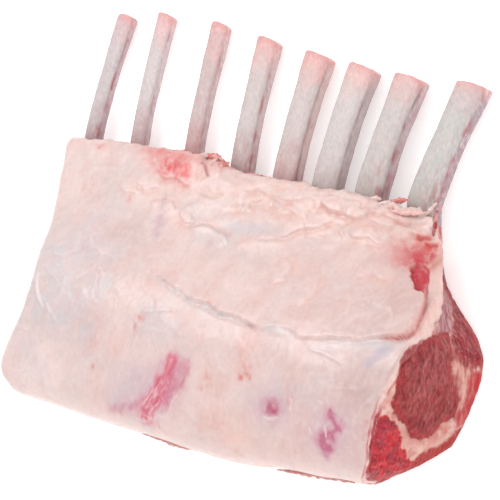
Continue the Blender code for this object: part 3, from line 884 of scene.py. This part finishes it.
def lean_colours(where, section, a, b):
    """Muscles, seams and fat on the cut ends, and the bone side's skin elsewhere, and how grainy each is."""
    at = section + (offsets(where, 4, (71, 72)) + offsets(where, 1.4, (73, 74)) * 0.6)
    fine, coarse = meat_grain(section, 3.6, 0.9, 75), meat_grain(section, 9, 2.4, 76)
    paint = Paint(len(where), SEAM_FAT)
    grain = np.full(len(where), 0.12)
    paint(0.4 + 0.8 * noise(where, 5, 77), PALE_SEAM)
    paint(0.5 * ease(0.1, 0.5, noise(where, (3, 2.4, 3), 78)), (224, 150, 138))
    streaky = ease(34, 40, section[:, 0]) * ease(24, 18, section[:, 1])
    paint(streaky * 0.85 * ease(-0.2, 0.3, meat_grain(section, 9, 1.6, 70)), (186, 88, 84))
    paint(0.6 * ease(0.05, 0.5, rough(where, (4, 5, 4), 2, 57)), (208, 112, 104))
    paint(0.7 * blob(section, (19, 13), (7, 5)), (242, 196, 182))
    paint(0.6 * blob(at, (26.5, 26), (4, 7)), (204, 120, 112))

    def muscle(outline, colour, soft=0.5, coarseness=1.0):
        nonlocal grain
        inside = depth_in(at, outline)
        blurred = soft + 2.2 * blob(section, (52, 14), (14, 7))
        mask = ease(-blurred, blurred, inside)
        paint(mask, colour)
        grain = grain * (1 - mask) + coarseness * mask
        return mask

    striated = muscle(STRIATED, MAUVE, 1.0, 0.5)
    paint(striated * 0.8 * ease(-0.1, 0.4, meat_grain(section, 7, 1.5, 79)), (222, 176, 174))
    paint(striated * 0.5 * ease(0.1, 0.5, meat_grain(section, 5, 1.1, 80)), (160, 74, 88))
    outer = muscle(OUTER_MUSCLE, (166, 46, 54), 0.7)
    paint(outer * 0.6 * ease(0, 0.5, meat_grain(section, 5, 1.6, 81)), (122, 26, 38))
    paint(outer * 0.5 * ease(0.15, 0.5, meat_grain(section, 4, 1.2, 82)), (206, 116, 114))
    tip = blob(section, (77, 1), (6, 5))
    paint(outer * 0.85 * tip, (186, 20, 36))
    paint(outer * 0.6 * ease(7, 1, section[:, 1]) * (0.7 + 0.6 * fine), (192, 30, 44))
    # Painted glints: small pale pink flecks on the outer muscle.
    paint(outer * 0.5 * ease(0.35, 0.6, noise(where, (1.0, 1.5, 1.0), 88)), (228, 160, 160))
    red = muscle(OUTER_RED, (202, 72, 76), 1.2, 0.7)
    paint(red * 0.8 * blob(at, (56.5, 3), (4, 3.4)), (212, 40, 56))
    paint(red * 0.6 * ease(0.1, 0.5, coarse), (230, 140, 132))
    rim = muscle(RIM_RED, (190, 66, 64), 0.9, 0.8)
    paint(rim * 0.5 * ease(0, 0.5, coarse), (150, 34, 42))
    eye = muscle(EYE, EYE_RED)
    paint(eye * 0.5 * ease(-0.2, 0.6, rough(where, (9, 8, 9), 2, 83)), (184, 84, 82))
    paint(eye * 0.4 * blob(section, (55, 33), (10, 8)), (172, 88, 92))
    paint(eye * 0.6 * ease(0, 0.5, coarse), EYE_DARK)
    paint(eye * 0.55 * ease(0.05, 0.5, fine), EYE_PALE)
    paint(eye * 0.5 * ease(0.05, 0.5, meat_grain(section, 3, 0.8, 84)), EYE_DARK)
    deep = depth_in(at, EYE)
    paint(eye * 0.55 * bell(deep - 1, 2), (182, 40, 50))
    for path in PALE_STREAKS:
        apart = distance(at, path)
        paint(0.75 * bell(apart, 1.3) * (0.7 + 0.6 * fine), (232, 174, 162))
    chine = muscle(CHINE, CHINE_RED, 0.5, 0.6)
    paint(chine * 0.7 * ease(0, 0.4, noise(where, (4, 2.4, 4), 85)), (206, 64, 70))
    paint(chine * 0.55 * ease(0.1, 0.45, noise(where, (2.6, 1.8, 2.6), 86)), CHINE_PALE)
    paint(chine * 0.7 * ease(0.1, 0.5, noise(where, (3, 1.6, 3), 87)), (132, 18, 34))
    paint(chine * 0.65 * ease(-0.1, 0.35, rough(where, (7, 5, 6), 2, 90)), (142, 26, 42))
    paint(chine * 0.4 * blob(at, (22, 44), (7, 4)), (160, 54, 84))
    paint(chine * 0.35 * ease(0.35, 0.6, noise(where, (1.0, 1.3, 1.0), 89)), (222, 130, 132))
    outside_colours(paint, where, a, b)
    return paint.colours, grain


def outside_colours(paint, where, a, b):
    """The sides of the lean meat that aren't cut: its bone side, its back and the trimmed front."""
    skin = ease(0, 0.012, a) * ease(1, 0.988, a)
    paint(skin, (216, 158, 150))
    paint(skin * ease(-0.1, 0.4, noise(where, (7, 22, 9), 91)), (172, 74, 74))
    paint(skin * 0.7 * ease(0.05, 0.5, noise(where, (5, 9, 5), 92)), (236, 200, 190))
    back = skin * ease(0.12, 0.05, b)
    paint(back * 0.8, (220, 160, 148))
    paint(back * ease(0, 0.4, noise(where, (14, 4, 5), 93)), (156, 62, 62))
    front = skin * ease(0.97, 0.985, b)
    paint(front * ease(-0.2, 0.3, noise(where, (6, 3, 3), 94)), (182, 76, 74))


LEAN_CELLS = (70, 280, 100)
LEAN_HIDDEN_STEP = 5
LEAN_Y = (3.7, 118.6)
INTO_FAT = 0.3


def lean_meat():
    """The muscles and the rib meat as one mass, cut across at both ends."""
    under_fat = curve_through(UNDER_FAT)(np.linspace(0, 1, 300))
    bottom = curve_through(LEAN_BOTTOM)(np.linspace(0, 1, 300))
    places, faces = box_skin(LEAN_CELLS, LEAN_HIDDEN_STEP)
    a, b, c = places.T
    first = int(np.argmin(under_fat[:, 0]))
    y = LEAN_Y[0] + (LEAN_Y[1] - LEAN_Y[0]) * b
    low = np.interp(y, *bottom.T)
    high = np.interp(y, *under_fat[first:].T) + INTO_FAT
    z = low + (high - low) * c
    section = np.column_stack([y, z])
    base = in_rack(a, y, z)
    points = base.copy()
    edge = np.minimum.reduce([b * 30, (1 - b) * 30, c * 12, (1 - c) * 12])
    inner = ease(0, 1, edge)

    at_right = ease(0.985, 1, a)
    eye, chine, outer = (depth_in(section, outline) for outline in (EYE, CHINE, OUTER_MUSCLE))
    bulge = 1.7 * ease(-1, 9, eye) + 1.0 * ease(-0.8, 5, chine) + 1.0 * ease(-0.8, 6, outer)
    bulge -= 0.8 * bell(eye, 1.2)
    bulge += 0.5 * rough(base, (5, 4, 5), 2, 95) + 0.3 * meat_grain(section, 4, 1.1, 96)
    points[:, 0] += at_right * bulge * (0.35 + 0.65 * inner)
    at_left = ease(0.015, 0, a)
    points[:, 0] -= at_left * inner * (0.9 * ease(-1, 8, eye) + 0.5 * rough(base, 5, 3, 97))

    skin = 1 - np.maximum(at_right, at_left)
    below = ease(0.06, 0.0, c) * ease(0.1, 0.2, b)
    points[:, 2] += skin * below * 0.5 * noise(base, (12, 20, 10), 98)
    back = ease(0.05, 0, b) * ease(0, 0.1, c)
    points[:, 1] -= skin * back * (1.2 + 1.6 * noise(base * [1, 0, 0], 24, 99))
    colours, grain = lean_colours(base, section, a, b)
    return make_piece(
        "lean_meat", points, faces, colours, MEAT_TISSUE,
        ("eye_muscle", "chine_muscle", "rib_meat"), grain,
    )


# The ribs

ROUND = 60
STATIONS = 150
TIP_ROUND = 1.1
GROOVE_AT = 0.1 * math.pi
SQUARENESS = 3.6

# For each rib: colours of the broad face, the low end, the tip and the right side, how slanted the sawn tip
# is, how deep the groove is in mm, and how bloody the groove is. The right side's colour is partly painted
# light and shade, and the groove's depth also sets how dark the painted shade in it is.
RIB_LOOKS = [
    ((212, 202, 203), (188, 158, 163), (226, 188, 191), (210, 184, 190), 0.12, 0.12, 1.0),
    ((220, 208, 208), (204, 164, 166), (242, 192, 192), (224, 204, 206), 0.2, 0.1, 0.5),
    ((213, 188, 186), (212, 158, 155), (236, 182, 180), (222, 194, 194), 0.22, 0.12, 0.55),
    ((216, 204, 201), (204, 174, 172), (243, 188, 183), (230, 202, 202), 0.22, 0.25, 0.75),
    ((217, 203, 200), (214, 176, 172), (243, 184, 178), (250, 216, 212), 0.2, 0.4, 0.4),
    ((220, 210, 207), (214, 200, 196), (244, 194, 189), (216, 198, 200), 0.2, 0.4, 0.2),
    ((212, 204, 200), (206, 196, 190), (236, 192, 188), (218, 190, 194), 0.14, 0.5, 0.9),
    ((206, 204, 200), (202, 197, 190), (224, 190, 188), (172, 150, 160), 0.1, 0.2, 0.8),
]
TIP_BULGE = 0.7


def rib_stations(number):
    """Down a rib: y, how far out of the meat it is, and how far round the tip's edge, both from 0 to 1."""
    tip_y = RIB_TIPS_Y[number]
    turns = np.sin(np.linspace(0, np.pi / 2, 8)[1:])
    straight = np.linspace(RIB_START_Y, tip_y - TIP_ROUND, STATIONS)
    y = np.concatenate([straight, tip_y - TIP_ROUND * (1 - turns)])
    bare = np.clip((y - RIB_BASE_Y) / (tip_y - RIB_BASE_Y), 0, 1)
    return y, bare, np.clip((y - (tip_y - TIP_ROUND)) / TIP_ROUND, 0, 1)


def rib(number):
    """One rib, from inside the backbone edge to its sawn tip, with the groove along its right side."""
    slant, groove_depth = RIB_LOOKS[number][4:6]
    thick = RIB_WIDTHS[number] * RIB_THICKNESS_SHARE
    turn = np.linspace(0, 2 * np.pi, ROUND, endpoint=False)
    power = 2 / SQUARENESS
    across = 0.5 * np.sign(np.cos(turn)) * np.abs(np.cos(turn)) ** power
    up = 0.5 * np.sign(np.sin(turn)) * np.abs(np.sin(turn)) ** power
    y, bare, past = rib_stations(number)
    base_x, tip_x = RIB_BASES_X[number], RIB_TIPS_X[number]
    middle = base_x + (tip_x - base_x) * bare + RIB_LEANS[number] * value_at(RIB_LEAN_SHARES, y)
    shrink = 0.8 * (1 - np.sqrt(1 - past**2))
    wide = RIB_WIDTHS[number] * value_at(RIB_FLARE, y) - 2 * shrink
    high = thick - 2 * shrink
    x = middle[:, None] + across[None] * wide[:, None]
    z = (value_at(RIB_LOWEST, y) + thick / 2)[:, None] + up[None] * high[:, None]
    points = np.stack([x, np.repeat(y[:, None], ROUND, 1), z], -1)
    sawn = slant * (x - middle[:, None]) + TIP_BULGE * (2 * across[None]) ** 2
    points[..., 1] -= sawn * bare[:, None] ** 3

    outward = np.stack([np.cos(turn) * thick, 0 * turn, np.sin(turn) * RIB_WIDTHS[number]], -1)
    outward /= np.linalg.norm(outward, axis=1, keepdims=True)
    away = np.abs((turn - GROOVE_AT + np.pi) % (2 * np.pi) - np.pi)
    own = points + number * 37.0
    relief = 0.22 * noise(own, (8, 20, 8), 101) + 0.1 * noise(own, (2.4, 6, 2.4), 102)
    relief += 0.05 * noise(own, (1.1, 1.8, 1.1), 103)
    relief -= groove_depth * bell(away, 0.11)[None] * ease(1, 0.75, bare)[:, None]
    points += outward[None] * relief[..., None]
    points[..., 1] += past[:, None] * 0.3 * noise(own, 2.5, 104)
    points[..., 2] = np.maximum(points[..., 2], 0)

    colours = rib_colours(number, points, turn, bare, away)
    rings = len(y)
    number_of = np.arange(rings * ROUND).reshape(rings, ROUND)
    following = np.roll(number_of, -1, axis=1)
    quads = np.stack([number_of[:-1], number_of[1:], following[1:], following[:-1]], -1)
    faces = quads.reshape(-1, 4).tolist()
    faces.append(number_of[0].tolist())
    flat = points.reshape(-1, 3)
    extra, extra_colours, extra_faces = tip_face(flat, number_of[-1])
    name = f"rib_{number + 1}"
    return make_piece(
        name + "_bone", np.vstack([flat, extra]), faces + extra_faces, np.vstack([colours, extra_colours]),
        BONE_TISSUE, (name,),
    )


def tip_face(points, ring):
    """The sawn face at a rib's tip: rings that close in on its middle, with spongy marrow inside."""
    edge = points[ring]
    middle = edge.mean(axis=0)
    extra, colours, faces = [], [], []
    last = ring
    start = len(points)
    for share in (0.86, 0.7, 0.52, 0.34, 0.16):
        placed = middle + (edge - middle) * share
        placed[:, 1] += 0.18 * noise(placed, 1.6, 111) - (0.35 if share < 0.6 else 0.0)
        numbers = np.arange(start, start + len(ring))
        start += len(ring)
        following, onward = np.roll(last, -1), np.roll(numbers, -1)
        faces += np.stack([last, numbers, onward, following], -1).tolist()
        extra.append(placed)
        spongy = ease(0.8, 0.5, share) * (0.6 + 0.6 * noise(placed, 1.2, 112))
        rim = Paint(len(ring), (236, 176, 168))
        rim(spongy, (176, 72, 70))
        colours.append(rim.colours)
        last = numbers
    faces.append(last[::-1].tolist())
    return np.vstack(extra), np.vstack(colours), faces


def rib_colours(number, points, turn, bare, away):
    """Grey-pink bone with a pink tip, painted light and shade on its right side, painted shade in the groove
    and blood along it.
    """
    broad_face, low_end, tip, side_tone_and_painted_light, _, groove, stain = RIB_LOOKS[number]
    flat = points.reshape(-1, 3)
    along = np.repeat(bare, ROUND)
    off_groove = np.tile(away, len(bare))
    height = np.tile(np.sin(turn), len(bare))
    facing_right = np.tile(np.cos(turn), len(bare)) > 0
    own = flat + number * 53.0
    mottle, fleck = noise(own, (3, 9, 4), 121), noise(own, (1.0, 1.8, 1.2), 122)
    paint = Paint(len(flat), broad_face)
    paint(0.05 + 0.4 * mottle, (226, 212, 209))
    paint(ease(0.42, -0.05, along + 0.1 * mottle), low_end)
    paint(ease(0.66, 0.97, along + 0.1 * mottle), tip)
    paint(0.8 * ease(0.92, 0.995, along + 0.03 * mottle), (238, 162, 158))
    paint(0.35 * ease(0.1, 0.6, fleck), (200, 184, 188))
    paint(0.35 * ease(0.1, 0.6, -fleck), (236, 218, 214))

    side = facing_right * ease(0.42, 0.2, height)
    away_from_tip = ease(1.0, 0.85, along)
    # Painted light and shade: the right side gets a colour that is partly the bone's own pinkish tone and
    # partly set lighter or darker than the broad face, rib by rib, to give it the brightness of a shaded
    # side.
    paint(0.85 * side * away_from_tip, side_tone_and_painted_light)
    paint(side * 0.7 * ease(0.0, 0.5, noise(own, (1.3, 2.2, 1.3), 123)), (244, 220, 217))
    # Painted shade in the groove: a grey line, darker on ribs whose groove is deeper.
    line = bell(off_groove - 0.02, 0.09) * away_from_tip
    uneven = 0.6 + 0.8 * noise(own, (3, 7, 3), 124)
    paint(groove * 1.5 * line * uneven, (146, 126, 132))
    blood = bell(off_groove, 0.26) * ease(-0.05, 0.4, noise(own, (2.4, 7, 2.4), 125)) * stain
    paint(0.9 * ease(1.0, 0.9, along) * blood, (186, 96, 104))
    spots = ease(0.25, 0.6, noise(own, (1.4, 2.6, 1.4), 126)) * (0.3 + 0.7 * side)
    paint(0.55 * spots * stain, (204, 120, 124))
    low_blood = ease(0.42, 0.05, along) * np.tile(ease(-0.4, 0.7, np.cos(turn)), len(bare))
    streaks = ease(-0.05, 0.4, noise(own, (1.8, 6, 2), 127))
    paint(0.7 * stain * low_blood * streaks, (188, 104, 108))
    hidden = ease(RIB_BASE_Y - 4, RIB_BASE_Y - 14, flat[:, 1])
    paint(0.6 * hidden, (224, 184, 176))
    return paint.colours


# Torn shreds along the trimmed edge

RED_BROWN = (212, 118, 112)
FRAYED = (240, 216, 212)
PINK_LOBE = (244, 200, 192)
RAW_RED = (178, 40, 52)
UNDER_FLAP = (232, 172, 166)

# Each shred: its path as (x, y, z), width, thickness, colour and slot
SHREDS = [
    (
        [(-60, 122.8, 17.6), (-52, 124.4, 18), (-45, 125.2, 18.4), (-38, 124.6, 18)],
        2.4, 1.2, RED_BROWN, "dark_meat",
    ),
    ([(-48, 119, 21.6), (-45, 122.6, 20.6), (-44, 126, 18.6)], 2.2, 1.0, (226, 120, 116), "fat"),
    ([(-40, 120.6, 20.6), (-36.4, 124.2, 19.4), (-33, 126.2, 17.6)], 2.6, 1.2, PINK_LOBE, "fat"),
    (
        [(-38, 123.8, 17.6), (-32, 125.6, 18), (-26, 124.6, 17.6), (-21.4, 120.8, 17)],
        3.0, 1.5, (224, 128, 122), "dark_meat",
    ),
    ([(-31, 119.6, 21.4), (-28.4, 122.8, 20.6), (-27.6, 125.4, 19)], 2.6, 1.2, PINK_LOBE, "fat"),
    ([(-26, 118.6, 21.4), (-23, 121.6, 20.8), (-20.6, 124.4, 19.2)], 2.2, 1.1, (222, 140, 134), "fat"),
    (
        [(-17, 120.2, 17.6), (-9, 120.6, 17.8), (-1, 120.2, 17.8), (7, 119.6, 17.6)],
        1.8, 1.0, RED_BROWN, "dark_meat",
    ),
    ([(50, 117.4, 18.8), (54.4, 119.2, 18.8), (58.6, 119.8, 18)], 2.4, 1.4, FRAYED, "fat"),
    ([(57, 116.4, 20.2), (61, 118, 19.6), (63.4, 119.8, 18.4)], 2.0, 1.2, FRAYED, "fat"),
    ([(61, 118.4, 17.6), (66, 120.4, 18), (71.6, 121.2, 17.4)], 2.4, 1.2, RED_BROWN, "dark_meat"),
    ([(64, 115.4, 20.6), (70, 115.4, 21), (77, 116.2, 20.2), (81.6, 117.4, 19)], 2.4, 1.2, PINK_LOBE, "fat"),
    ([(80.6, 116.4, 17.6), (82.6, 119.4, 17), (83.6, 122.4, 15.6)], 1.8, 1.4, FRAYED, "fat"),
    ([(83.6, 116, 16.6), (85.2, 119.4, 15.4), (85.6, 122, 14)], 1.8, 1.2, (206, 160, 166), "fat"),
    (
        [(88, 108.4, 19.6), (87.4, 112, 19), (86.4, 115.6, 17.8), (85.2, 119, 16)],
        1.8, 1.6, RAW_RED, "dark_meat",
    ),
    ([(-25, 2.6, 28.6), (-15.6, 2.2, 28.6), (-4.5, 1.0, 28.6), (8, 1.2, 28.6)], 1.9, 1.2, UNDER_FLAP, "fat"),
    ([(46, 0.9, 28.4), (57.2, 1.6, 28.4), (72, 2.6, 28.2), (84, 3, 28)], 1.9, 1.2, UNDER_FLAP, "fat"),
]
SHRED_ROUND = 12


def shred(number):
    """One torn shred: a flat ragged strip, thin at its ends and closed."""
    path, width, thick, colour, slot = SHREDS[number]
    centre = curve_through(path)(np.linspace(0, 1, 40))
    ahead = np.gradient(centre, axis=0)
    ahead /= np.linalg.norm(ahead, axis=1, keepdims=True)
    across = np.cross(ahead, (0, 0, 1.0))
    across /= np.linalg.norm(across, axis=1, keepdims=True)
    above = np.cross(across, ahead)
    share = np.linspace(0, 1, len(centre))
    taper = np.sin(np.pi * np.clip(share, 0.03, 0.97)) ** 0.45
    turn = np.linspace(0, 2 * np.pi, SHRED_ROUND, endpoint=False)
    reach = np.cos(turn)[None] * taper[:, None] * width / 2
    flat = centre[:, None] + across[:, None] * reach[..., None]
    torn_edge = 1 + 0.7 * noise(flat, (1.6, 1.6, 4), 131 + number)
    reach = reach * torn_edge
    lift = np.sin(turn)[None] * taper[:, None] * thick / 2 + 0.5 * noise(centre, 3, 171 + number)[:, None]
    points = centre[:, None] + across[:, None] * reach[..., None] + above[:, None] * lift[..., None]
    points = points.reshape(-1, 3)
    grid = np.arange(len(points)).reshape(len(centre), SHRED_ROUND)
    following = np.roll(grid, -1, axis=1)
    faces = np.stack([grid[:-1], following[:-1], following[1:], grid[1:]], -1).reshape(-1, 4).tolist()
    faces += [grid[0][::-1].tolist(), grid[-1].tolist()]
    paint = Paint(len(points), colour)
    paint(0.6 * ease(-0.1, 0.5, noise(points, 1.8, 181)), colour, (0.8, 0.6, 0.6))
    paint(0.5 * ease(0.1, 0.5, noise(points, 2.4, 182)), (244, 208, 202))
    return make_piece(f"shred_{number + 1}", points, faces, paint.colours, FAT_TISSUE)


# The stage

FLOOR_HALF_WIDTH = 1.5
FLOOR_LOOK = {
    "Base Color": (0.93, 0.93, 0.93, 1), "Roughness": 0.9, "Specular IOR Level": 0.1,
    "Emission Color": (1, 1, 1, 1), "Emission Strength": 0.3,
}


def floor():
    """A plain pale floor."""
    half = FLOOR_HALF_WIDTH
    mesh = bpy.data.meshes.new("floor")
    corners = [(-half, -half, 0), (half, -half, 0), (half, half, 0), (-half, half, 0)]
    mesh.from_pydata(corners, [], [(0, 1, 2, 3)])
    material = bpy.data.materials.new("floor_white")
    material.use_nodes = True
    shader = material.node_tree.nodes["Principled BSDF"]
    for name, value in FLOOR_LOOK.items():
        shader.inputs[name].default_value = value
    mesh.materials.append(material)
    ground = bpy.data.objects.new("floor", mesh)
    bpy.context.scene.collection.objects.link(ground)


# Name, place in m, width in m and power in W
LIGHTS = [
    ("window", (-0.75, 0.75, 1.5), 0.9, 14.0),
    ("fill", (1.5, -0.7, 0.9), 1.2, 8.5),
]
DAYLIGHT = 1.15


def lights():
    """A bright white room, a broad light from the far left and a weaker one from the near right."""
    world = bpy.data.worlds.new("bright_room")
    world.use_nodes = True
    background = world.node_tree.nodes["Background"]
    background.inputs["Color"].default_value = (1, 1, 1, 1)
    background.inputs["Strength"].default_value = DAYLIGHT
    bpy.context.scene.world = world
    for name, place, size, power in LIGHTS:
        lamp = bpy.data.lights.new(name, "AREA")
        lamp.shape = "DISK"
        lamp.size = size
        lamp.energy = power
        light = bpy.data.objects.new(name, lamp)
        light.location = place
        light.rotation_euler = (-Vector(place)).to_track_quat("-Z", "Y").to_euler()
        bpy.context.scene.collection.objects.link(light)


# The camera: it leans towards the cut end from straight above, and the ribs' direction leans right
CAMERA_TILT = math.radians(35)
CAMERA_FRONT = math.radians(4)
CAMERA_ROLL = math.radians(13.5)
CAMERA_DISTANCE = 1300
CAMERA_TARGET = (0.7, 88.7, 19.5)
MM_PER_PIXEL = 0.4247
PICTURE = 500
SENSOR = 36.0


def camera():
    """The photograph's camera."""
    back = Vector((
        math.sin(CAMERA_TILT) * math.cos(CAMERA_FRONT),
        -math.sin(CAMERA_FRONT),
        math.cos(CAMERA_TILT) * math.cos(CAMERA_FRONT),
    )).normalized()
    across = Vector((0, 1, 0))
    across = (across - across.dot(back) * back).normalized()
    side = across.cross(back)
    up = math.cos(CAMERA_ROLL) * across - math.sin(CAMERA_ROLL) * side
    right = math.cos(CAMERA_ROLL) * side + math.sin(CAMERA_ROLL) * across
    target = Vector((np.array(CAMERA_TARGET) + SHIFT) * MM)
    place = target + back * CAMERA_DISTANCE * MM
    lens = bpy.data.cameras.new("camera")
    lens.sensor_width = SENSOR
    lens.lens = SENSOR * CAMERA_DISTANCE / (MM_PER_PIXEL * PICTURE)
    eye = bpy.data.objects.new("camera", lens)
    eye.matrix_world = Matrix((
        (right.x, up.x, back.x, place.x),
        (right.y, up.y, back.y, place.y),
        (right.z, up.z, back.z, place.z),
        (0, 0, 0, 1),
    ))
    bpy.context.scene.collection.objects.link(eye)
    bpy.context.scene.camera = eye


fat_cap()
lean_meat()
for rib_number in range(len(RIB_BASES_X)):
    rib(rib_number)
for shred_number in range(len(SHREDS)):
    shred(shred_number)
floor()
lights()
camera()
bpy.context.scene.view_settings.view_transform = "Standard"
bpy.context.scene.view_settings.look = "None"
